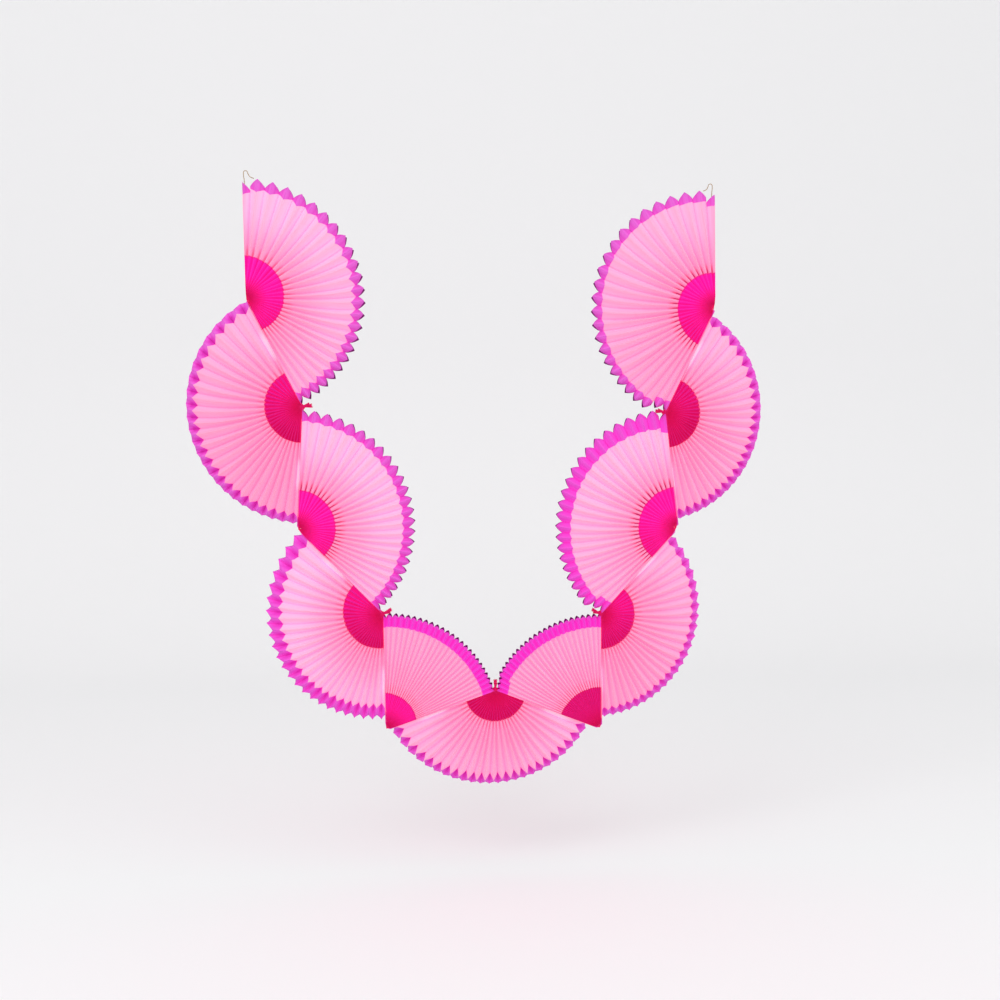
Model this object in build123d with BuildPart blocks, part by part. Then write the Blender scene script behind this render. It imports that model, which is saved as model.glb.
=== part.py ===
from build123d import *
import os
from math import cos, pi, radians, sin, sqrt, tan

# Paper honeycomb streamer: narrow tissue-paper leaves glued into diamond
# cells and opened into fans that turn right and left along a swag.
# X runs along the swag, Z is up and Y is the depth, with the front at -Y.
# The origin is the top of the left hanging loop. All sizes are millimetres.

# Leaves, measured from pinch to pinch and from the middle to an edge
leaf_length = 167.0
leaf_half_width = 13.0
paper = 0.5
glue_line = 3.0

# Depth of the V at the leaf ends: a notch at one end, a point at the other
notch_cut = 9.0
point_cut = 5.5

# Fans, from the left tip to the right tip
first_heading = -88.5
openings = (154.2, 150.5, 133.3, 137.0, 72.8, 140.2, 68.8, 137.4, 131.2, 147.8, 153.5)
cells_per_fan = 24
sag = 0.2

# How much the bow of its leaf shortens each seam between two fans
seam_bow = (9.2, 4.4, 0.0, 2.8, 7.7, 6.7, 7.1, 5.4, 4.3, 2.6, 3.4, 6.8)

# How far each rim stays short of a straight leaf at its first seam and at
# its last seam, and how much further it is drawn in between them
start_short = (5, 5, 4, 4, 8, 12, 2, 20, -4, 14, -6)
end_short = (9, 7, 9, 21, 8, 25, 7, 14, -2, 12, 3)
middle_short = (0, 6, 0, -2, 0, 16, 0, 8, -4, 13, -8)

# Pinched ends at the hubs
core_radius = 10.6
point_apex_depth = 2.0
notch_apex_depth = 11.0
tail_length = 12.0
tail_root = 5.0
tail_half_width = 0.6
tail_depth = 3.0
tail_spread = 0.65

# Hollows of the cells, and the room a rim leaves at the next hub
cell_start = 25.0
end_cell_start = 40.0
rim_clearance = 1.5
over_cut = 3.0
notch_lip = 0.8

# Twine loops
twine_diameter = 1.2
twine_sides = 8
twine_clearance = 0.3
loop_rise = 15.15
loop_width = 4.3
loop_inset = 3.75
loop_lean = 0.35
bend_share = 0.45


def spot(angle, radius, depth=0.0, aside=0.0):
    """A point by direction and distance from a hub, depth, and step to the left."""
    turn = radians(angle)
    return (
        radius * cos(turn) - aside * sin(turn),
        depth,
        radius * sin(turn) + aside * cos(turn),
    )


def slope_root(depth, width):
    """Steepness of a cell wall, and its length for each unit of width."""
    steep = (depth - glue_line / 2) / width
    return steep, sqrt(1 + steep**2)


class Cell:
    """One diamond cell between two mid-depth glue lines, with its ridges between."""

    def __init__(self, ridge, ridge_tip, sides, half_angle, seam_tip=None):
        self.ridge = ridge
        self.ridge_tip = ridge_tip
        self.sides = sides
        self.half_angle = radians(half_angle)
        self.seam_tip = seam_tip

    def depth(self, radius):
        """Half depth at the ridge, straight from the core to the rim."""
        near = sqrt(leaf_half_width**2 - (core_radius * self.half_angle) ** 2)
        far = sqrt(leaf_half_width**2 - (self.ridge_tip * self.half_angle) ** 2)
        share = (radius - core_radius) / (self.ridge_tip - core_radius)
        return near + (far - near) * share

    def shell(self):
        """Corner points of the outer form."""
        points = []
        for face in (-1, 1):
            for radius in (core_radius, self.ridge_tip):
                points.append(spot(self.ridge, radius, face * self.depth(radius)))
            for angle, near, tip, inward in self.sides:
                points.append(spot(angle, near, face * glue_line / 2))
                points.append(spot(angle, tip, face * glue_line / 2))
        if self.seam_tip:
            points.append(spot(self.ridge, self.seam_tip))
        return points

    def hollow(self):
        """Corner points of the hollow: an edge near the core, then one paper inside."""
        points = []
        at_seam = len(self.sides) == 1
        near = end_cell_start if at_seam else cell_start
        shift = -self.sides[0][3] * paper if at_seam else 0.0
        for face in (-1, 1):
            for radius in (near, self.ridge_tip + over_cut):
                depth = self.depth(radius)
                steep, stretch = slope_root(depth, radius * self.half_angle)
                inner = depth - paper * stretch - abs(shift) * steep
                points.append(spot(self.ridge, radius, face * inner, shift))
            for angle, start, tip, inward in self.sides:
                radius = tip + over_cut
                depth = self.depth(radius)
                steep, stretch = slope_root(depth, radius * self.half_angle)
                inner = glue_line / 2 - paper * (stretch - steep)
                points.append(spot(angle, radius, face * inner, inward * paper))
        if self.seam_tip:
            shift = -self.sides[0][3] * paper
            points.append(spot(self.ridge, self.seam_tip + over_cut, 0, shift))
        return points

    def notch(self):
        """Corner points of the V cut out of the flat leaf of a seam cell."""
        facing = self.sides[0][3]
        mouth = (self.depth(self.ridge_tip) - notch_lip) * (notch_cut + over_cut) / notch_cut
        points = []
        for aside in (facing * over_cut, -facing * (paper + notch_lip)):
            points.append(spot(self.ridge, self.ridge_tip - notch_cut, 0, aside))
            for face in (-1, 1):
                points.append(spot(self.ridge, self.ridge_tip + over_cut, face * mouth, aside))
        return points


def ridge_angles(start, sweep_angle):
    """Directions of the ridges, packed closer where the fan hangs down."""
    steps = range(cells_per_fan)
    middles = [start + sweep_angle * (step + 0.5) / cells_per_fan for step in steps]
    shares = [1 + sag * sin(radians(middle)) for middle in middles]
    unit = sweep_angle / sum(shares)
    return [start + unit * sum(shares[:count]) for count in range(cells_per_fan + 1)]


# Hub positions: the seams turn right at odd fans and left at even ones
fan_count = len(openings)
seams = [leaf_length - bow for bow in seam_bow]
headings = [first_heading]
for number, opening in enumerate(openings, 1):
    turn = 180 - opening
    headings.append(headings[-1] + (turn if number % 2 else -turn))
tip_drop = loop_rise - twine_diameter / 2
hubs = [Vector(*spot(first_heading + 180, -tip_drop, 0, loop_inset))]
for seam, heading in zip(seams, headings):
    hubs.append(hubs[-1] + Vector(*spot(heading, seam)))

os.makedirs("parts", exist_ok=True)


def next_hub_room(off_seam, seam, opening, has_tail):
    """How far a rim can reach beside a seam before it meets what is behind the next hub."""
    spare = (180 - opening) / 2
    beside_tail = has_tail and seam * sin(radians(off_seam)) < 1.3 * tail_length
    lean = spare * (1 - tail_spread) if beside_tail else spare
    along = cos(radians(off_seam)) - sin(radians(off_seam)) * tan(radians(lean))
    return (seam - rim_clearance) / along if along > 0.2 else 5 * seam


# Fans: a pinched core, a closed half cell on each seam and full cells between
for number, opening in enumerate(openings, 1):
    index = number - 1
    odd = number % 2 == 1
    start = headings[index] + 180
    sweep_angle = -opening if odd else opening
    inward = -1 if odd else 1
    ridges = ridge_angles(start, sweep_angle)
    last = len(ridges) - 1

    def reach(angle):
        """Distance from the hub to the rim's tips in one direction."""
        part_way = (angle - start) / sweep_angle
        short = start_short[index] * (1 - part_way) + end_short[index] * part_way
        short += middle_short[index] * sin(pi * part_way)
        rim = leaf_length - short
        if index > 0:
            off = abs(angle - start)
            rim = min(rim, next_hub_room(off, seams[index], openings[index - 1], odd))
        if number < fan_count:
            off = abs(start + sweep_angle - angle)
            rim = min(rim, next_hub_room(off, seams[number], openings[number], odd))
        return rim

    def ridge_tip(angle):
        return reach(angle) - (0 if odd else point_cut)

    # Glue lines lie half way between ridges and show behind them or past them
    glued = []
    for before, after in zip(ridges, ridges[1:]):
        angle = (before + after) / 2
        near = core_radius * cos(radians(after - before) / 2)
        glued.append((angle, near, reach(angle) - (notch_cut if odd else 0)))

    cells = []
    for count in range(1, last):
        left, right = glued[count - 1], glued[count]
        half_angle = abs(right[0] - left[0]) / 2
        tip = ridge_tip(ridges[count])
        cells.append(Cell(ridges[count], tip, [(*left, inward), (*right, -inward)], half_angle))
    for ridge, side, seam, facing in (
        (ridges[0], glued[0], seams[index], -inward),
        (ridges[last], glued[-1], seams[number], inward),
    ):
        seam_tip = seam - rim_clearance
        tip = seam_tip if odd else seam_tip - point_cut
        cell = Cell(ridge, tip, [(*side, facing)], abs(side[0] - ridge), None if odd else seam_tip)
        cells.append(cell)

    hub = (hubs[number].X, 0, hubs[number].Z)
    apex_depth = point_apex_depth if odd else notch_apex_depth
    middle = start + sweep_angle / 2
    tail_end = tail_half_width + tail_length * tan(radians(tail_spread * (180 - opening) / 2))
    with BuildPart() as fan:
        with Locations(hub):
            ordered = [cells[-2], *cells[:-2], cells[-1]]
            fold_line = [(0, face * apex_depth, 0) for face in (-1, 1)]
            for cell in ordered:
                for face in (-1, 1):
                    fold_line.append(spot(cell.ridge, core_radius, face * cell.depth(core_radius)))
            ConvexPolyhedron(fold_line)
            shells = [ConvexPolyhedron(cell.shell(), mode=Mode.PRIVATE) for cell in cells]
            hollows = [ConvexPolyhedron(cell.hollow(), mode=Mode.PRIVATE) for cell in cells]
            if odd:
                # The end leaf shows the V notch that all rims of this kind have
                for cell in cells[-2:]:
                    hollows.append(ConvexPolyhedron(cell.notch(), mode=Mode.PRIVATE))
            else:
                # Leaf ends stand out behind the pinch in a front and a back prong
                for face in (-1, 1):
                    prong = []
                    for aside in (-1, 1):
                        for inset in (0, tail_depth):
                            root_depth = face * (notch_apex_depth - inset)
                            end_depth = face * (leaf_half_width - inset)
                            step = aside * tail_half_width
                            prong.append(spot(middle, tail_root, root_depth, step))
                            prong.append(spot(middle, 0, root_depth, step))
                            prong.append(spot(middle, -tail_length, end_depth, aside * tail_end))
                    shells.append(ConvexPolyhedron(prong, mode=Mode.PRIVATE))
        add(shells)
        add(hollows, mode=Mode.SUBTRACT)
    name = f"fan_{number:02d}"
    print(name, len(fan.part.solids()), round(fan.part.volume), len(fan.part.faces()))
    fan.part.label = name
    export_step(fan.part, f"parts/{name}.step")


def twine(tip, outward, side):
    """Route of a hanging loop, from inside the end cell, up, over and down to a loose end."""
    beside = paper + twine_clearance + twine_diameter / 2
    route = (
        (-29.0, beside, 0.0),
        (-15.0, beside + 0.05, 0.0),
        (0.0, 2.6, -0.4),
        (9.0, 1.3, -0.8),
        (loop_rise - loop_lean, loop_inset - loop_width / 2, -0.6),
        (loop_rise + loop_lean, loop_inset + loop_width / 2, 0.5),
        (10.5, 7.6, 0.2),
        (6.0, 10.2, -1.0),
        (4.6, 15.0, -1.6),
    )
    return [tip + Vector(*spot(outward, rise, depth, side * inset)) for rise, inset, depth in route]


def bend_radii(points):
    """The largest radius that each corner of a route has room for."""
    radii = []
    for before, corner, after in zip(points, points[1:], points[2:]):
        run_in, run_out = corner - before, after - corner
        turn = radians(run_in.get_angle(run_out))
        radii.append(bend_share * min(run_in.length, run_out.length) / tan(turn / 2))
    return radii


# Hanging loops at the two tips
for name, tip, outward, side in (
    ("left_hang_loop", hubs[0], first_heading + 180, -1),
    ("right_hang_loop", hubs[-1], headings[-1], 1),
):
    points = twine(tip, outward, side)
    radii = bend_radii(points)
    with BuildPart() as hang_loop:
        with BuildLine() as route:
            FilletPolyline(*points, radius=radii)
        with BuildSketch(Plane(origin=route.line @ 0, z_dir=route.line % 0)) as section:
            RegularPolygon(twine_diameter / 2, twine_sides)
        sweep()
    length = sum(edge.length for edge in route.line.edges())
    tube = section.sketch.area * length
    print(name, "radii", [round(radius, 1) for radius in radii])
    print(name, "length", round(length, 1), "volume", round(hang_loop.part.volume / tube, 3))
    hang_loop.part.label = name
    export_step(hang_loop.part, f"parts/{name}.step")
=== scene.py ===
from math import cos, pi, radians, sin, tan

import bpy
import numpy as np
from bpy.props import FloatProperty, FloatVectorProperty, IntProperty, PointerProperty
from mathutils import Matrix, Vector


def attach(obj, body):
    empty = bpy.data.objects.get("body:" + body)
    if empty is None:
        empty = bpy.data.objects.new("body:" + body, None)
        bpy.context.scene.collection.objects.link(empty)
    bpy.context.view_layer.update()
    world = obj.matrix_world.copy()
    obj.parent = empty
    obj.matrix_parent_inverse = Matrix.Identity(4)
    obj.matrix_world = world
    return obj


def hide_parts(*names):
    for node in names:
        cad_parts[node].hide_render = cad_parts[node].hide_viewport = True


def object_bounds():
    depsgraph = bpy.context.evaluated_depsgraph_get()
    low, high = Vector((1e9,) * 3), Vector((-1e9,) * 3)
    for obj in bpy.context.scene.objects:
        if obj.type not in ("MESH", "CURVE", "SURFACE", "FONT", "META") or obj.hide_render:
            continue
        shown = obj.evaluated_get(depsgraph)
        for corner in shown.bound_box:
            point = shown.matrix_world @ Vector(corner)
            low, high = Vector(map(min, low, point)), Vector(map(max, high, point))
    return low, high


bl_info = {
    "name": "Paper honeycomb streamer",
    "version": (1, 0, 0),
    "blender": (4, 5, 0),
    "location": "3D View > Sidebar > Streamer",
    "description": "Builds the tissue fans and the twine loops of a honeycomb streamer",
    "category": "Object",
}

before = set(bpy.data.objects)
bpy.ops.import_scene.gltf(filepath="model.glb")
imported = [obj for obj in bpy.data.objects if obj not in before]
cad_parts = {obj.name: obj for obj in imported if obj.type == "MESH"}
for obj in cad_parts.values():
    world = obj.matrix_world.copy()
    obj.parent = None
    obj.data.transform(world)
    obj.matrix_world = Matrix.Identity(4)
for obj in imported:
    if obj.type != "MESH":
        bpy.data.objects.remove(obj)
CAD_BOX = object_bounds()

MM = 0.001

# How the strip turns: opening of each fan and first heading in degrees, bow of each seam in mm
OPENINGS = (154.2, 150.5, 133.3, 137.0, 72.8, 140.2, 68.8, 137.4, 131.2, 147.8, 153.5)
SEAM_BOW = (9.2, 4.4, 0.0, 2.8, 7.7, 6.7, 7.1, 5.4, 4.3, 2.6, 3.4, 6.8)
FIRST_HEADING = -88.5
# Where the first leaf tip lies, along the first seam and to its left, in metres
FIRST_TIP = (-0.01455, 0.00375)

# How far each rim stays short of a leaf's length at its start, end and middle, in mm
START_SHORT = (5, 5, 4, 4, 8, 12, 2, 20, -4, 14, -6)
END_SHORT = (9, 7, 9, 21, 8, 25, 7, 14, -2, 12, 3)
MIDDLE_SHORT = (0, 6, 0, -2, 0, 16, 0, 8, -4, 13, -8)

# Room for a rim beside the next hub: share of the spare angle that a tail takes, how many tail
# lengths it reaches, the least slope that still meets something, and the room where nothing is
TAIL_SHARE, TAIL_REACH = 0.35, 1.3
LEAST_SLOPE, FREE_ROOM = 0.2, 5

# How finely a leaf is drawn from pinch to rim and from back to front, and how the lines crowd
ROWS, COLUMNS = 21, 13
ROW_CROWDING, COLUMN_CROWDING = 0.9, 1.5

# Form of a leaf: opening in degrees from which notches are cut in full, most of its half width
# that a cell opens to, length and depth left at a pinch, range of roundness, curve of a tail
FULL_NOTCH = 130
WIDEST_CELL = 0.93
PINCH_LENGTH, PINCH_DEPTH = 0.012, 0.25
ROUNDNESS = (0.2, 7)
TAIL_CURVE = 1.5
# Leaf thicknesses that a seam's own leaf and the other leaves keep from the seam plane
SEAM_LEAF_OFF, LEAF_OFF = 0.7, 1.8
# Height, pace and shift of the two waves that make the folds uneven
WANDER_WAVES = ((0.6, 2.399, 1.7), (0.4, 5.13, 3.1))

# How the dye lies: curve of the rim's edge over a fold, growth of its slant, how far the painted
# light at the tips runs in, and how much painted light the folds of a toothed rim get
RIM_CURVE, SLANT_GROWTH = 0.8, 1.5
PAINTED_LIGHT_RUN, TOOTH_PAINTED_LIGHT = 1.6, 0.55

# Where each dyed tone starts and is full, in metres from a dye's edge, the hub or its level
DYE_EDGE = (-0.0005, 0.0006)
DARK_EDGE = (-0.0028, -0.0006)
TICK_FADE = (0.003, 0.016)
# The next range fades out the painted shade at the pinch
APEX_SHADE_FADE = (0.002, 0.036)
BLUSH_FADE = (0.050, 0.120)
# The next two ranges place a painted highlight along the seams
SLIVER_START, SLIVER_END = (0.066, 0.082), (0.1, 0.12)
# The next range fades in painted shade on the lower side of a centre
LOW_SHADE_FADE = (-0.05, 0.03)
# The next range brings in the painted glow near the hub
GLOW_FADE = (0.0, 0.045)
RAGGED = 0.002
# The same for the way across a fold, from ridge to glue line
# The first range below places the ticks round the centre; the other two place the rim's painted
# light on ridges and tips
TICK_FOLD = (0.46, 0.88)
LIGHT_FOLD = (0.3, 0.6)
RIDGE_FOLD = (0.8, 0.1)
# How fast creases change from the hub outwards, across a fold and from leaf to leaf
CREASE_PACE = (14.0, 4.0, 1.3)
# Where in the crease noise the red streaks and the pink patches show
STREAK_CREASES, PATCH_CREASES = (0.48, 0.7), (0.45, 0.75)
# How strongly each tone shows, as shares of 1
# The low-side crimson share below is painted shade
STREAK_SHARE, EDGE_SHARE, LOW_SIDE_SHADE = 0.45, 0.35, 0.4
# The hang share below is painted shade on leaves that point down, and the sliver share a painted
# highlight along the seams
PATCH_SHARE, HANG_SHADE_SHARE, SLIVER_SHARE = 0.45, 0.45, 0.6
# Painted glow that stands in for light through the paper: on a ridge, added in the folds, added at
# the hub, and all of it
RIDGE_GLOW, FOLD_GLOW, HUB_GLOW, GLOW_SHARE, GLOW_STRENGTH = 0.28, 0.8, 0.4, 0.6, 0.6
# Brightness of the colour under creases and fibres: its range, and its least
CREASE_TONE, FIBRE_TONE = (0.14, 0.92), (0.06, 0.97)

# Steps along the twine, its length in metres, and the sides of a ply
TWINE_STEP, TWINE_LENGTH, PLY_SIDES = 0.0003, 0.0625, 10

# Backdrop in metres: half width, front edge, radius of its curve, height of the wall
BACKDROP_HALF, BACKDROP_FRONT, BACKDROP_CURVE, BACKDROP_WALL = 6, -7.0, 1.0, 5.0
BACKDROP_STEPS = 12
# Each lamp's step aside from the middle, y and z, width in metres and power in watts
LAMPS = {
    "key_lamp": (-1.6, -2.2, 1.4, 1.6, 22),
    "fill_lamp": (2.0, -2.0, 0.2, 2.2, 13),
}
ROOM_LIGHT = 0.83
# Camera: turn and tilt in degrees, distance and aim from the first leaf tip in metres, lens in mm
CAMERA_YAW, CAMERA_PITCH, CAMERA_DISTANCE = -7.5, 1.4, 1.809
CAMERA_AIM = (0.350, 0, -0.430)
CAMERA_LENS, CAMERA_SENSOR = 46.8, 36


def size(name, description, default, **limits):
    """A length in metres that a user can change."""
    return FloatProperty(
        name=name, description=description, default=default, unit="LENGTH", precision=5, **limits
    )


def colour(name, description, default):
    """A scene-linear colour that a user can change."""
    return FloatVectorProperty(
        name=name, description=description, default=default, size=3, subtype="COLOR", min=0, max=1
    )


def sizes(name, description, millimetres):
    """One length for each fan that a user can change."""
    return FloatVectorProperty(
        name=name,
        description=description,
        size=len(millimetres),
        unit="LENGTH",
        precision=5,
        default=[value * MM for value in millimetres],
    )


def numbers(name, description, values):
    """One plain number for each fan that a user can change."""
    return FloatVectorProperty(
        name=name, description=description, size=len(values), default=values
    )


class FanSettings(bpy.types.PropertyGroup):
    """Form of the fans, and how far the dyes run on each of them"""

    leaf_length: size("Leaf length", "Length of a leaf from pinch to pinch", 0.167)
    half_width: size("Half width", "Half the width of a leaf", 0.013)
    notch_cut: size("Notch cut", "Depth of the notch at one leaf end", 0.009)
    thickness: size("Tissue thickness", "Thickness of one leaf as drawn", 0.00012)
    cells: IntProperty(name="Cells", description="Diamond cells in one fan", default=24, min=4)
    sag: FloatProperty(
        name="Sag", description="How much the cells crowd where a fan hangs down", default=0.2
    )
    rim_clearance: size("Rim clearance", "Room between a rim and the next hub", 0.0015)
    tail_length: size("Tail length", "Length of the leaf ends behind a notched hub", 0.012)
    tail_spread: FloatProperty(
        name="Tail spread", description="Opening of the tails as a share of the fan's", default=0.2
    )
    sway: FloatProperty(
        name="Sway", description="How far folds wander, as a share of a cell", default=0.16, min=0
    )
    droop: FloatProperty(
        name="Droop", description="Degrees by which level folds sag half way", default=2.6, min=0
    )
    slackness: FloatProperty(
        name="Slackness",
        description="How far a fold's round front runs back",
        default=1.5,
        min=0.1,
    )
    lean: FloatProperty(
        name="Lean", description="Sideways shift of the back for its depth", default=0.12
    )
    centre_starts: sizes(
        "Centre at first seam",
        "Radius of each fan's dyed centre at its first seam",
        (58, 50, 54, 57, 52, 43, 61, 49, 55, 50, 58),
    )
    centre_depths: numbers(
        "Centre depths",
        "How far each fan's dyed centre runs to crimson",
        (0.1, 0.6, 0.1, 0.55, 0.3, 0.9, 0.8, 0.5, 0.15, 0.75, 0.1),
    )
    vivid_rims: numbers(
        "Vivid rims",
        "How far each fan's rim runs from orchid to magenta",
        (0.0, 0.0, 0.15, 0.3, 0.85, 0.0, 0.85, 0.0, 0.5, 0.0, 0.0),
    )
    # Dark fold ends round the centre: partly painted shade in the narrow folds, partly centre dye
    # along the glue lines
    ticks: numbers(
        "Ticks",
        "Strength of the dark fold ends round each fan's centre",
        (0.45, 0.3, 0.8, 0.35, 0.5, 0.4, 0.5, 0.35, 0.9, 0.3, 0.8),
    )
    flush: numbers(
        "Flush",
        "How much pinker each fan's paper is than the palest",
        (0.0, 0.45, -0.2, -0.35, 0.5, 0.0, 0.45, 0.3, 0.0, 0.3, 0.35),
    )
    centre_ends: sizes(
        "Centre at last seam",
        "Radius of each fan's dyed centre at its last seam",
        (47, 49, 51, 46, 45, 43, 59, 48, 58, 50, 49),
    )
    rim_ridges: sizes(
        "Rim dye on ridges",
        "Dyed depth on the ridges, from the tips",
        (18.5, 10, 17.5, 18, 17, 6.5, 17, 11, 20.5, 9, 15.5),
    )
    point_cuts: sizes(
        "Point cuts",
        "Drawn height of the points at each fan's leaf ends",
        (5.5, 3.5, 5.5, 8.5, 5.5, 5.5, 5.5, 6, 5.5, 3.5, 5.5),
    )
    rim_slants: sizes(
        "Rim slant",
        "Further dyed depth towards each fan's last seam",
        (0, 0, 1, 0, 0, 0, 0, 0, 8, 0, 1),
    )
    rim_folds: sizes(
        "Rim dye in folds",
        "Dyed depth on the glue lines, from the tips",
        (12.5, 16, 14.5, 23, 17, 16.5, 17, 14, 18.5, 15.5, 14),
    )


class PaperSettings(bpy.types.PropertyGroup):
    """Colours of the dyed tissue"""

    # Painted shade towards the pinch; the same red also darkens the centre's streaks and edge
    apex: colour("Apex", "Deepest red at the pinch", (0.62, 0.002, 0.10))
    # Painted shade on the lower side of a centre, mixed in with each fan's own deeper centre dye
    low_centre: colour("Lower centre", "Crimson of the hanging side", (0.66, 0.005, 0.16))
    # Partly painted shade in the narrow folds, partly centre dye along the glue lines
    tick: colour("Ticks", "Dark red of the fold ends round the centre", (0.50, 0.008, 0.16))
    centre: colour("Centre", "Hot pink around the pinch", (0.94, 0.018, 0.50))
    blush: colour("Blush", "Pink beside the dyed centre", (0.99, 0.335, 0.55))
    body: colour("Body", "Pale pink of the leaves", (0.99, 0.465, 0.68))
    # Painted highlight along the seams
    seam_highlight: colour("Bleached", "Palest paper along the seams", (1.0, 0.74, 0.86))
    # Shaded and lit copies of the rim's dye: painted shade in the folds, painted light on the
    # ridges and tips
    rim: colour("Rim", "Orchid of the dyed rim in the folds", (0.60, 0.035, 0.42))
    rim_ridge: colour("Rim ridge", "Lilac of the dyed rim on the ridges", (0.76, 0.120, 0.62))
    rim_vivid: colour("Vivid rim", "Magenta of the most strongly dyed rims", (0.84, 0.045, 0.60))
    # Painted shade on the faces turned into a dyed cell
    rim_shade: colour("Rim shade", "Deep purple inside the dyed cells", (0.20, 0.006, 0.15))


class TwineSettings(bpy.types.PropertyGroup):
    """Size and colours of the twine"""

    diameter: size("Diameter", "Thickness of the twine", 0.0012)
    lay: size("Lay", "Length of one full turn of the plies", 0.0042)
    straw: colour("Straw", "Light colour of the twine", (0.56, 0.36, 0.15))
    shade: colour("Shade", "Dark colour between the plies", (0.20, 0.11, 0.035))


class StageSettings(bpy.types.PropertyGroup):
    """Room round the streamer and brightness of its surroundings"""

    floor_drop: size("Floor drop", "How far the floor lies below the streamer", 0.12)
    backdrop_gap: size("Backdrop gap", "How far the backdrop stands behind it", 2.6)
    pale: FloatProperty(
        name="Pale",
        description="Brightness lent to what the camera sees of the stage",
        default=0.14,
    )


def polar(angle, radius, aside=0.0):
    """Position on the fan plane by direction, distance and step to the left."""
    turn = radians(angle)
    return Vector(
        (radius * cos(turn) - aside * sin(turn), 0, radius * sin(turn) + aside * cos(turn))
    )


def swag(leaf_length):
    """Hub positions, seam lengths and seam headings along the streamer."""
    seams = [leaf_length - bow * MM for bow in SEAM_BOW]
    headings = [FIRST_HEADING]
    for number, opening in enumerate(OPENINGS, 1):
        turn = 180 - opening
        headings.append(headings[-1] + (turn if number % 2 else -turn))
    hubs = [polar(FIRST_HEADING + 180, *FIRST_TIP)]
    for seam, heading in zip(seams, headings):
        hubs.append(hubs[-1] + polar(heading, seam))
    return hubs, seams, headings


def next_hub_room(off_seam, seam, opening, beside_tail, clearance):
    """How far a rim can reach beside a seam before it meets what is behind the next hub."""
    spare = (180 - opening) / 2
    lean = spare * TAIL_SHARE if beside_tail else spare
    along = cos(radians(off_seam)) - sin(radians(off_seam)) * tan(radians(lean))
    return (seam - clearance) / along if along > LEAST_SLOPE else FREE_ROOM * seam


class FanForm:
    """Directions and reaches of one fan, worked out as the solid fan is."""

    def __init__(self, number, settings):
        hubs, seams, headings = swag(settings.leaf_length)
        self.settings = settings
        self.number = number
        self.odd = number % 2 == 1
        self.hub = hubs[number]
        self.opening = OPENINGS[number - 1]
        self.start = headings[number - 1] + 180
        self.sweep = -self.opening if self.odd else self.opening
        self.seams = (seams[number - 1], seams[number])
        self.neighbours = (
            OPENINGS[number - 2] if number > 1 else None,
            OPENINGS[number] if number < len(OPENINGS) else None,
        )
        self.ridges = self.ridge_angles()
        self.notch = settings.notch_cut * min(1, self.opening / FULL_NOTCH)

    def ridge_angles(self):
        """Directions of the ridges, closer together where the fan hangs down."""
        count = self.settings.cells
        middles = self.start + self.sweep * (np.arange(count) + 0.5) / count
        shares = 1 + self.settings.sag * np.sin(np.radians(middles))
        steps = np.concatenate(([0.0], np.cumsum(shares)))
        return self.start + self.sweep * steps / steps[-1]

    def reach(self, angle):
        """Distance from the hub to the rim's tips in one direction."""
        index = self.number - 1
        part_way = (angle - self.start) / self.sweep
        short = START_SHORT[index] * (1 - part_way) + END_SHORT[index] * part_way
        short += MIDDLE_SHORT[index] * sin(pi * part_way)
        rim = self.settings.leaf_length - short * MM
        tail_reach = TAIL_REACH * self.settings.tail_length
        offs = (abs(angle - self.start), abs(self.start + self.sweep - angle))
        for off, seam, opening in zip(offs, self.seams, self.neighbours):
            if opening is not None:
                beside = self.odd and seam * sin(radians(off)) < tail_reach
                room = next_hub_room(off, seam, opening, beside, self.settings.rim_clearance)
                rim = min(rim, room)
        return rim


def wander(seed, count):
    """Small fixed uneven values between -1 and 1, one for each fold."""
    steps = np.arange(count)
    return sum(high * np.sin(steps * pace + seed * shift) for high, pace, shift in WANDER_WAVES)


def fold_angle(form, line, share, swing):
    """Direction of a ridge or glue line along its length, where it sags and wanders."""
    settings = form.settings
    part_way = (line - form.start) / form.sweep
    free = sin(pi * min(max(part_way, 0), 1)) ** 0.5
    bow = np.sin(pi * np.clip(share, 0, 1))
    sag = settings.droop * 4 * share * (1 - share) * (share > 0) * cos(radians(line))
    pitch = abs(form.sweep) / settings.cells
    return line - free * (sag - swing * settings.sway * pitch * bow)


def keep_aside(form, points, radius, leaves):
    """Small moves that hold a fan's leaves some leaves' thickness off both seam planes."""
    moves = np.zeros_like(points)
    side = 90 if form.sweep > 0 else -90
    for inward in (polar(form.start + side, 1), polar(form.start + form.sweep - side, 1)):
        off = (points - np.array(form.hub)) @ np.array(inward)
        short = np.clip(leaves * form.settings.thickness - off, 0, None) * (radius > 0)
        moves += short[..., None] * np.array(inward)
    return moves


def leaf_facts(form, ridge, tip, radius, turn, crossed):
    """What the dye and its painted light and shade follow on one leaf, where turn is the direction
    from the hub.
    """
    settings, index = form.settings, form.number - 1
    part_way = (ridge - form.start) / form.sweep
    centre_start, centre_end = settings.centre_starts[index], settings.centre_ends[index]
    centre = centre_start * (1 - part_way) + centre_end * part_way
    slant = settings.rim_slants[index] * max(part_way, 0) ** SLANT_GROWTH
    on_ridge, in_fold = settings.rim_ridges[index] + slant, settings.rim_folds[index] + slant
    # Share of painted light on the rim: fixed on toothed rims, running in from the tips on pointed
    # ones
    if form.odd:
        painted_light_tip = TOOTH_PAINTED_LIGHT
    else:
        painted_light_tip = (radius - tip) / settings.point_cuts[index] + PAINTED_LIGHT_RUN
    return {
        "past_centre": radius - centre,
        "past_rim": radius - (tip - on_ridge + (on_ridge - in_fold) * crossed**RIM_CURVE),
        "from_hub": radius,
        "rise": radius * np.sin(turn),
        # Leaves that point down take painted shade in the body's colour
        "hang": 0.5 - 0.5 * np.sin(turn),
        "fold": crossed,
        "crimson": settings.centre_depths[index],
        "flush": settings.flush[index],
        "painted_light_tip": np.clip(painted_light_tip, 0, 1),
        "tick": settings.ticks[index],
        "vivid": settings.vivid_rims[index],
    }


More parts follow.
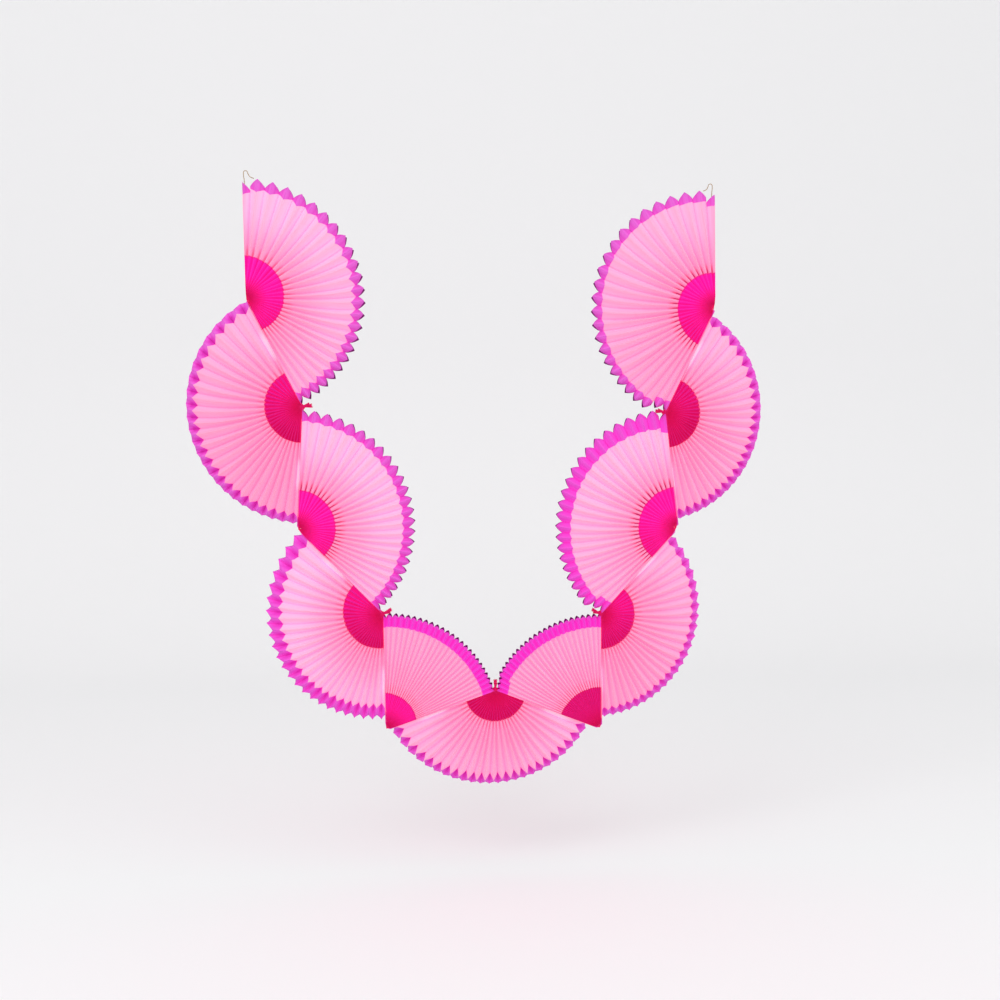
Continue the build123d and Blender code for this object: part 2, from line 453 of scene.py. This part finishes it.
def leaf_grid(form, ridge, glue, swings, tip):
    """Middle surface of one leaf, as rows of points, and what its dye follows."""
    settings = form.settings
    across = np.linspace(-1, 1, COLUMNS)
    across = (np.sign(across) * (1 - (1 - np.abs(across)) ** COLUMN_CROWDING))[None, :]
    away = np.abs(across)
    along = np.linspace(0, 1, ROWS)[:, None] ** ROW_CROWDING
    point_cut = settings.point_cuts[form.number - 1]
    if form.odd:
        near = point_cut * away
        far = tip - form.notch * (1 - away)
    else:
        near = -settings.tail_length * away**TAIL_CURVE
        far = tip - point_cut * away
    radius = near + (far - near) * along
    half_pitch = abs(glue - ridge) * pi / 180
    width = np.clip(np.abs(radius) * half_pitch, 0, WIDEST_CELL * settings.half_width)
    depth = np.sqrt(settings.half_width**2 - width**2)
    pinch = np.clip(np.abs(radius) / PINCH_LENGTH, 0, 1)
    if form.odd:
        depth = depth * (PINCH_DEPTH + (1 - PINCH_DEPTH) * pinch)
    bulge = np.clip(depth / (settings.slackness * np.maximum(width, 0.1 * MM)), *ROUNDNESS)
    crossed = (1 - np.exp(-bulge * (1 - away))) / (1 - np.exp(-bulge))
    share = radius / tip
    from_ridge = fold_angle(form, ridge, share, swings[0])
    from_glue = fold_angle(form, glue, share, swings[1])
    angle = from_ridge + (from_glue - from_ridge) * crossed
    if not form.odd:
        middle = form.start + form.sweep / 2
        angle = np.where(radius < 0, middle + (angle - middle) * settings.tail_spread, angle)
    turn = np.radians(angle)
    lean = settings.lean * depth * across
    points = np.stack(
        [
            form.hub.x + radius * np.cos(turn) + lean,
            form.hub.y + depth * across,
            form.hub.z + radius * np.sin(turn),
        ],
        axis=-1,
    )
    points += keep_aside(form, points, radius, SEAM_LEAF_OFF if glue == ridge else LEAF_OFF)
    return points, leaf_facts(form, ridge, tip, radius, turn, crossed)


def shell(grid, thickness):
    """Both faces of a leaf, half a thickness to each side of its middle."""
    normal = np.cross(np.gradient(grid, axis=0), np.gradient(grid, axis=1))
    normal /= np.maximum(np.linalg.norm(normal, axis=-1, keepdims=True), 1e-12)
    step = normal * thickness / 2
    points = np.concatenate([(grid + step).reshape(-1, 3), (grid - step).reshape(-1, 3)])
    return points, normal[ROWS // 2, COLUMNS // 2]


def shell_faces(first):
    """Quads of both faces of one leaf and of its thin edge, from its first point."""
    under = ROWS * COLUMNS
    faces = []
    for row in range(ROWS - 1):
        for column in range(COLUMNS - 1):
            a = first + row * COLUMNS + column
            b, c, d = a + 1, a + COLUMNS + 1, a + COLUMNS
            faces += [(a, d, c, b), (a + under, b + under, c + under, d + under)]
    places = np.arange(under).reshape(ROWS, COLUMNS) + first
    edge = [*places[0, :-1], *places[:-1, -1], *places[-1, :0:-1], *places[:0:-1, 0]]
    for a, b in zip(edge, edge[1:] + edge[:1]):
        faces.append((b + under, a + under, a, b))
    return faces


def link(piece):
    """Put a new object in the scene."""
    bpy.context.scene.collection.objects.link(piece)
    return piece


def fan_leaves(form):
    """Ridge, glue line, their swings and the reach of each leaf of a fan."""
    ridges = form.ridges
    glues = (ridges[1:] + ridges[:-1]) / 2
    ridge_swings = wander(form.number, len(ridges))
    glue_swings = wander(form.number + 20, len(glues))
    leaves = []
    for count, glue in enumerate(glues):
        for side in (count, count + 1):
            tip = form.reach(ridges[side] if form.odd else glue)
            if side in (0, len(ridges) - 1):
                seam = form.seams[0] if side == 0 else form.seams[1]
                tip = min(tip, seam - form.settings.rim_clearance)
            leaves.append((ridges[side], glue, (ridge_swings[side], glue_swings[count]), tip))
    for ridge, seam in ((ridges[0], form.seams[0]), (ridges[-1], form.seams[1])):
        leaves.append((ridge, ridge, (0, 0), seam - form.settings.rim_clearance))
    return leaves


def build_fan(number, settings, material):
    """One fan of tissue leaves, glued in pairs at the ridges and back to back between."""
    form = FanForm(number, settings)
    points, faces, facts = [], [], {}
    for place, (ridge, glue, swings, tip) in enumerate(fan_leaves(form)):
        grid, leaf = leaf_grid(form, ridge, glue, swings, tip)
        both_faces, normal = shell(grid, settings.thickness)
        count = len(both_faces)
        points.append(both_faces)
        faces += shell_faces(place * count)
        # Which face of a leaf looks into its cell, where the rim takes painted shade
        towards_cell = Vector(normal).dot(polar(ridge, 1) - polar(glue, 1))
        inner = np.repeat((towards_cell > 0, towards_cell < 0), count // 2)
        off_seams = [abs(ridge - seam) for seam in form.ridges[[0, -1]]]
        # Seam leaves of pointed fans take a painted highlight
        beside_seam = not form.odd and min(off_seams) < 0.01
        for key, values in leaf.items():
            spread = np.broadcast_to(values, (ROWS, COLUMNS)).reshape(-1)
            facts.setdefault(key, []).append(np.tile(spread, 2))
        facts.setdefault("inner", []).append(inner)
        facts.setdefault("beside_seam", []).append(np.full(count, float(beside_seam)))
        facts.setdefault("leaf", []).append(np.full(count, place))
    mesh = bpy.data.meshes.new(f"tissue_fan_{number:02d}")
    mesh.from_pydata(np.concatenate(points).tolist(), [], faces)
    for key, values in facts.items():
        layer = mesh.attributes.new(key, "FLOAT", "POINT")
        layer.data.foreach_set("value", np.concatenate(values).astype(np.float32))
    flats = 2 * (ROWS - 1) * (COLUMNS - 1)
    edges = 2 * (ROWS - 1) + 2 * (COLUMNS - 1)
    smooth = np.arange(len(mesh.polygons)) % (flats + edges) < flats
    mesh.polygons.foreach_set("use_smooth", smooth)
    mesh.materials.append(material)
    piece = link(bpy.data.objects.new(f"tissue_fan_{number:02d}", mesh))
    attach(piece, "root")
    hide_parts(f"fan_{number:02d}")
    return piece


class Shader:
    """Adds nodes to a tree and joins them, left to right."""

    def __init__(self, tree):
        self.tree = tree

    def node(self, kind, inputs=(), **settings):
        """A new node with its settings and inputs, by socket name or place."""
        made = self.tree.nodes.new(kind)
        for key, value in settings.items():
            setattr(made, key, value)
        for key, value in dict(inputs).items():
            self.feed(made.inputs[key], value)
        return made

    def feed(self, socket, value):
        """Join a socket to another, or give it a plain value."""
        if isinstance(value, bpy.types.NodeSocket):
            self.tree.links.new(value, socket)
        else:
            socket.default_value = value

    def value(self, name):
        """A value that the mesh carries at its points."""
        return self.node("ShaderNodeAttribute", attribute_name=name).outputs["Fac"]

    def sums(self, operation, *terms, clamp=False):
        """One step of arithmetic on values or sockets."""
        made = self.node("ShaderNodeMath", operation=operation, use_clamp=clamp)
        for place, term in enumerate(terms):
            self.feed(made.inputs[place], term)
        return made.outputs[0]

    def step(self, value, low, high):
        """A soft step from 0 at low to 1 at high."""
        made = self.node(
            "ShaderNodeMapRange",
            {"Value": value, "From Min": low, "From Max": high},
            interpolation_type="SMOOTHSTEP",
        )
        return made.outputs["Result"]

    def fade(self, value, low, high):
        """A soft step from 1 at low to 0 at high."""
        return self.sums("SUBTRACT", 1.0, self.step(value, low, high))

    def mix(self, factor, first, second, blend="MIX"):
        """Mix of two colours, where the sockets are told apart by place, not by name."""
        made = self.node("ShaderNodeMix", data_type="RGBA", blend_type=blend)
        for socket, value in ((0, factor), (6, first), (7, second)):
            self.feed(made.inputs[socket], value)
        return made.outputs[2]


def opaque(values):
    """A colour with full alpha, as colour sockets want it."""
    return (*values, 1.0)


def fibre_grain():
    """Node group shared by tissue and twine: fine fibres and the height they stand up."""
    tree = bpy.data.node_groups.new("fibre_grain", "ShaderNodeTree")
    for name, kind, default in (
        ("Vector", "NodeSocketVector", None),
        ("Scale", "NodeSocketFloat", 1400.0),
        ("Detail", "NodeSocketFloat", 3.0),
    ):
        socket = tree.interface.new_socket(name, in_out="INPUT", socket_type=kind)
        if default is not None:
            socket.default_value = default
    tree.interface.new_socket("Fibres", in_out="OUTPUT", socket_type="NodeSocketFloat")
    shade = Shader(tree)
    given = shade.node("NodeGroupInput").outputs
    noise = shade.node(
        "ShaderNodeTexNoise",
        {name: given[name] for name in ("Vector", "Scale", "Detail")} | {"Roughness": 0.6},
    )
    shade.node("NodeGroupOutput", {"Fibres": noise.outputs["Fac"]})
    return tree


def grain(shade, place, scale, detail):
    """Fine fibres on a material, from the group that tissue and twine share."""
    group = bpy.data.node_groups.get("fibre_grain") or fibre_grain()
    inputs = {"Vector": place, "Scale": scale, "Detail": detail}
    return shade.node("ShaderNodeGroup", inputs, node_tree=group).outputs["Fibres"]


def creases_of(shade, from_hub, fold):
    """Streaks along the folds, different on each leaf."""
    steps = zip("XYZ", (from_hub, fold, shade.value("leaf")), CREASE_PACE)
    paced = {axis: shade.sums("MULTIPLY", value, pace) for axis, value, pace in steps}
    along_leaf = shade.node("ShaderNodeCombineXYZ", paced).outputs[0]
    inputs = {"Vector": along_leaf, "Scale": 1.0, "Detail": 3.0}
    return shade.node("ShaderNodeTexNoise", inputs).outputs["Fac"]


def centre_dye(shade, paper, past_centre, creases):
    """Red apex, crimson to hot pink round it, with painted shade deepening the red towards the
    pinch and on the lower side, dark streaks and a darker edge.
    """
    # Lower side of the centre mixed towards crimson: painted shade; the per-fan crimson depth
    # added to it is the dye's own
    low = shade.fade(shade.value("rise"), *LOW_SHADE_FADE)
    crimson = shade.sums("MULTIPLY_ADD", low, LOW_SIDE_SHADE, shade.value("crimson"), clamp=True)
    tilted = shade.mix(crimson, opaque(paper.centre), opaque(paper.low_centre))
    # Deeper red towards the pinch, where the fan closes: painted shade
    out = shade.step(shade.value("from_hub"), *APEX_SHADE_FADE)
    centre = shade.mix(out, opaque(paper.apex), tilted)
    streaks = shade.sums("MULTIPLY", shade.step(creases, *STREAK_CREASES), STREAK_SHARE)
    streaked = shade.mix(streaks, centre, opaque(paper.apex))
    ring = shade.sums("MULTIPLY", shade.step(past_centre, *DARK_EDGE), EDGE_SHARE)
    return shade.mix(ring, streaked, opaque(paper.apex))


def body_dye(shade, paper, past_centre, creases, from_hub, fold):
    """Pale paper that blushes near the centre, with painted shade where leaves point down, a
    painted highlight along the seams and dark fold ends, partly painted shade and partly dye.
    """
    patchy = shade.sums("MULTIPLY", shade.step(creases, *PATCH_CREASES), PATCH_SHARE)
    flushed = shade.sums("ADD", patchy, shade.value("flush"))
    # Leaves that point down are mixed towards the deeper blush: painted shade
    hanging = shade.sums("MULTIPLY_ADD", shade.value("hang"), HANG_SHADE_SHARE, flushed, clamp=True)
    fresh = shade.mix(hanging, opaque(paper.body), opaque(paper.blush))
    leafy = shade.mix(shade.step(from_hub, *BLUSH_FADE), opaque(paper.blush), fresh)
    # Pale sliver along the seam leaves of pointed fans: painted highlight
    sliver = shade.sums(
        "MULTIPLY",
        shade.sums(
            "SUBTRACT",
            shade.step(from_hub, *SLIVER_START),
            shade.step(from_hub, *SLIVER_END),
        ),
        shade.sums("MULTIPLY", shade.value("beside_seam"), SLIVER_SHARE),
    )
    outer = shade.mix(sliver, leafy, opaque(paper.seam_highlight))
    # Dark red at the fold ends just outside the centre: partly painted shade in the narrow folds,
    # partly centre dye that runs further along the glue lines
    ticks = shade.sums(
        "MULTIPLY",
        shade.sums("MULTIPLY", shade.step(fold, *TICK_FOLD), shade.value("tick")),
        shade.fade(past_centre, *TICK_FADE),
    )
    return shade.mix(ticks, outer, opaque(paper.tick))


def rim_dye(shade, paper, fold):
    """Rim dye: orchid with painted shade in the folds, lilac with painted light on the ridges and
    tips, magenta on vivid rims, deep purple painted shade inside the cells.
    """
    # Painted light on ridges and tips, painted shade in the folds
    painted_light_tip = shade.sums("MULTIPLY", shade.step(fold, *LIGHT_FOLD), shade.value("painted_light_tip"))
    in_light = shade.sums("MAXIMUM", shade.step(fold, *RIDGE_FOLD), painted_light_tip)
    outside = shade.mix(in_light, opaque(paper.rim), opaque(paper.rim_ridge))
    bright = shade.mix(shade.value("vivid"), outside, opaque(paper.rim_vivid))
    # Faces turned into a cell get the deep purple: painted shade
    return shade.mix(shade.value("inner"), bright, opaque(paper.rim_shade))


def tissue_material(paper):
    """Dyed tissue with fine fibres and creases, with a painted glow that stands in for light
    through thin paper.
    """
    material = bpy.data.materials.new("dyed_tissue")
    material.use_nodes = True
    shade = Shader(material.node_tree)
    surface = material.node_tree.nodes["Principled BSDF"]
    place = shade.node("ShaderNodeTexCoord").outputs["Object"]
    from_hub, fold = shade.value("from_hub"), shade.value("fold")
    fibres = grain(shade, place, 1400.0, 4.0)
    creases = creases_of(shade, from_hub, fold)
    spread = {"Vector": place, "Scale": 110.0, "Detail": 2.0}
    blots = shade.node("ShaderNodeTexNoise", spread).outputs["Fac"]
    ragged = shade.sums("MULTIPLY", shade.sums("SUBTRACT", blots, 0.5), RAGGED)
    past_centre = shade.sums("ADD", shade.value("past_centre"), ragged)
    past_rim = shade.sums("ADD", shade.value("past_rim"), ragged)
    centre = centre_dye(shade, paper, past_centre, creases)
    body = body_dye(shade, paper, past_centre, creases, from_hub, fold)
    tinted = shade.mix(shade.step(past_centre, *DYE_EDGE), centre, body)
    dyed = shade.mix(shade.step(past_rim, *DYE_EDGE), tinted, rim_dye(shade, paper, fold))
    creased = shade.sums("MULTIPLY_ADD", creases, *CREASE_TONE)
    light = shade.sums("MULTIPLY", creased, shade.sums("MULTIPLY_ADD", fibres, *FIBRE_TONE))
    channels = {"Red": light, "Green": light, "Blue": light}
    grey = shade.node("ShaderNodeCombineColor", channels).outputs[0]
    paper_colour = shade.mix(1.0, dyed, grey, "MULTIPLY")
    shade.feed(surface.inputs["Base Color"], paper_colour)
    # Painted glow: emission in the paper's colour, stronger in the folds and near the hub, that
    # fills their shade
    deep = shade.fade(from_hub, *GLOW_FADE)
    in_fold = shade.sums("MULTIPLY_ADD", fold, FOLD_GLOW, RIDGE_GLOW)
    through = shade.sums("MULTIPLY_ADD", deep, HUB_GLOW, in_fold)
    lit = shade.sums("MULTIPLY", through, GLOW_SHARE, clamp=True)
    glow = shade.mix(lit, (0.0, 0.0, 0.0, 1.0), paper_colour)
    shade.feed(surface.inputs["Emission Color"], glow)
    surface.inputs["Emission Strength"].default_value = GLOW_STRENGTH
    surface.inputs["Roughness"].default_value = 0.7
    surface.inputs["Specular IOR Level"].default_value = 0.2
    height = shade.sums("ADD", shade.sums("MULTIPLY", creases, 2.0), fibres)
    relief = {"Height": height, "Strength": 0.25, "Distance": 0.0003}
    bump = shade.node("ShaderNodeBump", relief)
    shade.feed(surface.inputs["Normal"], bump.outputs["Normal"])
    return material


def twine_material(twine):
    """Straw-coloured fibre, darker in places along a fine fibre noise."""
    material = bpy.data.materials.new("twine_fibre")
    material.use_nodes = True
    shade = Shader(material.node_tree)
    surface = material.node_tree.nodes["Principled BSDF"]
    place = shade.node("ShaderNodeTexCoord").outputs["Object"]
    fibres = grain(shade, place, 2500.0, 3.0)
    lit = shade.step(fibres, 0.35, 0.6)
    straw = shade.mix(lit, opaque(twine.shade), opaque(twine.straw))
    shade.feed(surface.inputs["Base Color"], straw)
    surface.inputs["Roughness"].default_value = 0.85
    bump = shade.node("ShaderNodeBump", {"Height": fibres, "Strength": 0.5, "Distance": 0.0002})
    shade.feed(surface.inputs["Normal"], bump.outputs["Normal"])
    return material


def twine_route(tip, outward, side):
    """The loop's route: inside the end cell, up, over and down to a loose end."""
    route = (
        (-29.0, 1.4, 0.0),
        (-15.0, 1.45, 0.0),
        (0.0, 2.6, -0.4),
        (9.0, 1.3, -0.8),
        (14.8, 1.6, -0.6),
        (15.5, 5.9, 0.5),
        (10.5, 7.6, 0.2),
        (6.0, 10.2, -1.0),
        (4.6, 15.0, -1.6),
    )
    points = []
    for rise, inset, depth in route:
        point = tip + polar(outward, rise * MM, side * inset * MM)
        point.y = depth * MM
        points.append(point)
    return points


def smooth_route(points):
    """Close, even points on the smooth line that the route's points guide."""
    curve = bpy.data.curves.new("twine_route", "CURVE")
    curve.dimensions = "3D"
    spline = curve.splines.new("NURBS")
    spline.points.add(len(points) - 1)
    for control, point in zip(spline.points, points):
        control.co = (*point, 1.0)
    spline.order_u = 3
    spline.use_endpoint_u = True
    curve.resolution_u = 24
    guide = link(bpy.data.objects.new("twine_route", curve))
    bpy.context.view_layer.update()
    line = bpy.data.meshes.new_from_object(guide)
    places = np.array([vertex.co[:] for vertex in line.vertices])
    bpy.data.objects.remove(guide)
    bpy.data.meshes.remove(line)
    bpy.data.curves.remove(curve)
    run = np.concatenate(([0], np.cumsum(np.linalg.norm(np.diff(places, axis=0), axis=1))))
    even = np.linspace(0, run[-1], round(run[-1] / TWINE_STEP))
    return np.stack([np.interp(even, run, places[:, axis]) for axis in range(3)], axis=-1)


def ply(route, diameter, turn, lay):
    """Rings of one of the two plies that twist round the route."""
    ahead = np.gradient(route, axis=0)
    ahead /= np.linalg.norm(ahead, axis=1, keepdims=True)
    aside = np.cross(ahead[0], (0, 1, 0))
    around = np.radians(np.arange(PLY_SIDES) * 360 / PLY_SIDES)[:, None]
    rings = []
    for place, (point, forward) in enumerate(zip(route, ahead)):
        aside = aside - forward * aside.dot(forward)
        aside /= np.linalg.norm(aside)
        up = np.cross(forward, aside)
        twist = turn + 2 * pi * place * TWINE_STEP / lay
        middle = point + diameter / 4 * (cos(twist) * aside + sin(twist) * up)
        ring = np.cos(around) * aside + np.sin(around) * up
        rings.append(middle + diameter / 4 * ring)
    return np.array(rings)


def build_loop(name, points, twine, material):
    """One hanging loop of limp two-ply twine on its smooth route."""
    route = smooth_route(points)
    corners, faces = [], []
    for turn in (0, pi):
        rings = ply(route, twine.diameter, turn, twine.lay)
        first = len(corners)
        corners += rings.reshape(-1, 3).tolist()
        for ring in range(first, len(corners) - PLY_SIDES, PLY_SIDES):
            for side in range(PLY_SIDES):
                a, b = ring + side, ring + (side + 1) % PLY_SIDES
                faces.append((a, b, b + PLY_SIDES, a + PLY_SIDES))
        faces.append(tuple(range(first, first + PLY_SIDES))[::-1])
        faces.append(tuple(range(len(corners) - PLY_SIDES, len(corners))))
    mesh = bpy.data.meshes.new(name)
    mesh.from_pydata(corners, [], faces)
    mesh.polygons.foreach_set("use_smooth", [len(face) == 4 for face in faces])
    mesh.materials.append(material)
    piece = link(bpy.data.objects.new(name, mesh))
    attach(piece, "root")
    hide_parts(name.replace("twine_", "") + "_hang_loop")
    return piece


class STREAMER_OT_fans(bpy.types.Operator):
    """Build the eleven tissue fans"""

    bl_idname = "streamer.fans"
    bl_label = "Build fans"

    def execute(self, context):
        scene = context.scene
        material = tissue_material(scene.streamer_paper)
        for number in range(1, len(OPENINGS) + 1):
            build_fan(number, scene.streamer_fan, material)
        return {"FINISHED"}


class STREAMER_OT_loops(bpy.types.Operator):
    """Build the two twine hanging loops"""

    bl_idname = "streamer.loops"
    bl_label = "Build hanging loops"

    def execute(self, context):
        scene = context.scene
        twine = scene.streamer_twine
        material = twine_material(twine)
        hubs, _, headings = swag(scene.streamer_fan.leaf_length)
        left = twine_route(hubs[0], FIRST_HEADING + 180, -1)
        right = twine_route(hubs[-1], headings[-1], 1)
        build_loop("twine_left", left, twine, material)
        build_loop("twine_right", right, twine, material)
        return {"FINISHED"}


def pale_material(lent):
    """Matt pale grey that looks a little brighter to the camera than it lights the object."""
    material = bpy.data.materials.new("pale_backdrop")
    material.use_nodes = True
    shade = Shader(material.node_tree)
    surface = material.node_tree.nodes["Principled BSDF"]
    surface.inputs["Base Color"].default_value = (0.80, 0.80, 0.81, 1.0)
    surface.inputs["Roughness"].default_value = 0.9
    surface.inputs["Emission Color"].default_value = (1.0, 1.0, 1.0, 1.0)
    seen = shade.node("ShaderNodeLightPath").outputs["Is Camera Ray"]
    shade.feed(surface.inputs["Emission Strength"], shade.sums("MULTIPLY", seen, lent))
    return material


def build_backdrop(middle, floor, back, material):
    """Floor that curves up into a wall behind the streamer."""
    profile = [(BACKDROP_FRONT, floor)]
    for step in range(BACKDROP_STEPS + 1):
        turn = radians(90 * step / BACKDROP_STEPS)
        away = back - BACKDROP_CURVE + BACKDROP_CURVE * sin(turn)
        profile.append((away, floor + BACKDROP_CURVE - BACKDROP_CURVE * cos(turn)))
    profile.append((back, floor + BACKDROP_WALL))
    points, faces = [], []
    for y, z in profile:
        points += [(middle.x - BACKDROP_HALF, y, z), (middle.x + BACKDROP_HALF, y, z)]
    for step in range(len(profile) - 1):
        faces.append((2 * step, 2 * step + 1, 2 * step + 3, 2 * step + 2))
    mesh = bpy.data.meshes.new("sweep_backdrop")
    mesh.from_pydata(points, [], faces)
    mesh.polygons.foreach_set("use_smooth", [True] * len(mesh.polygons))
    mesh.materials.append(material)
    link(bpy.data.objects.new("sweep_backdrop", mesh))


def soft_room():
    """Even white light from all round."""
    world = bpy.data.worlds.new("soft_room")
    world.use_nodes = True
    room = world.node_tree.nodes["Background"]
    room.inputs["Color"].default_value = (1.0, 1.0, 1.0, 1.0)
    room.inputs["Strength"].default_value = ROOM_LIGHT
    return world


def add_lamp(name, middle, aside, y, z, width, power):
    """A soft square lamp that faces the middle of the streamer."""
    lamp = bpy.data.lights.new(name, "AREA")
    lamp.shape = "SQUARE"
    lamp.size = width
    lamp.energy = power
    made = link(bpy.data.objects.new(name, lamp))
    made.location = (middle.x + aside, y, z)
    facing = middle - made.location
    made.rotation_euler = facing.to_track_quat("-Z", "Y").to_euler()
    made.visible_camera = False


def add_camera(first_tip):
    """The camera at the photograph's viewing angle."""
    yaw, pitch = radians(CAMERA_YAW), radians(CAMERA_PITCH)
    ahead = Vector((-sin(yaw) * cos(pitch), cos(yaw) * cos(pitch), -sin(pitch)))
    camera = bpy.data.cameras.new("photo_view")
    camera.sensor_width = CAMERA_SENSOR
    camera.lens = CAMERA_LENS
    viewer = link(bpy.data.objects.new("photo_view", camera))
    viewer.location = first_tip + Vector(CAMERA_AIM) - ahead * CAMERA_DISTANCE
    viewer.rotation_euler = ahead.to_track_quat("-Z", "Y").to_euler()
    return viewer


class STREAMER_OT_stage(bpy.types.Operator):
    """Set the pale floor and backdrop, the soft lamps and the camera"""

    bl_idname = "streamer.stage"
    bl_label = "Set the stage"

    def execute(self, context):
        scene = context.scene
        stage = scene.streamer_stage
        low, high = (Vector(corner) for corner in CAD_BOX)
        middle = (low + high) / 2
        floor, back = low.z - stage.floor_drop, high.y + stage.backdrop_gap
        build_backdrop(middle, floor, back, pale_material(stage.pale))
        scene.world = soft_room()
        for name, (aside, y, z, width, power) in LAMPS.items():
            add_lamp(name, middle, aside, y, z, width, power)
        scene.camera = add_camera(swag(scene.streamer_fan.leaf_length)[0][0])
        scene.view_settings.view_transform = "Standard"
        return {"FINISHED"}


class STREAMER_PT_build(bpy.types.Panel):
    """Sizes and colours of the streamer, and the operators that build it"""

    bl_label = "Honeycomb streamer"
    bl_idname = "STREAMER_PT_build"
    bl_space_type = "VIEW_3D"
    bl_region_type = "UI"
    bl_category = "Streamer"

    def draw(self, context):
        layout = self.layout
        for group in GROUPS:
            box = layout.box()
            settings = getattr(context.scene, group)
            for name in settings.__annotations__:
                box.prop(settings, name)
        for operator in (STREAMER_OT_stage, STREAMER_OT_loops, STREAMER_OT_fans):
            layout.operator(operator.bl_idname)


GROUPS = ("streamer_fan", "streamer_paper", "streamer_twine", "streamer_stage")
CLASSES = (
    FanSettings,
    PaperSettings,
    TwineSettings,
    StageSettings,
    STREAMER_OT_fans,
    STREAMER_OT_loops,
    STREAMER_OT_stage,
    STREAMER_PT_build,
)


def register():
    for cls in CLASSES:
        bpy.utils.register_class(cls)
    bpy.types.Scene.streamer_fan = PointerProperty(type=FanSettings)
    bpy.types.Scene.streamer_paper = PointerProperty(type=PaperSettings)
    bpy.types.Scene.streamer_twine = PointerProperty(type=TwineSettings)
    bpy.types.Scene.streamer_stage = PointerProperty(type=StageSettings)


def unregister():
    for name in GROUPS:
        delattr(bpy.types.Scene, name)
    for cls in reversed(CLASSES):
        bpy.utils.unregister_class(cls)


def main():
    register()
    bpy.ops.streamer.stage()
    bpy.ops.streamer.loops()
    bpy.ops.streamer.fans()
    bpy.context.view_layer.update()


if __name__ == "__main__":
    main()
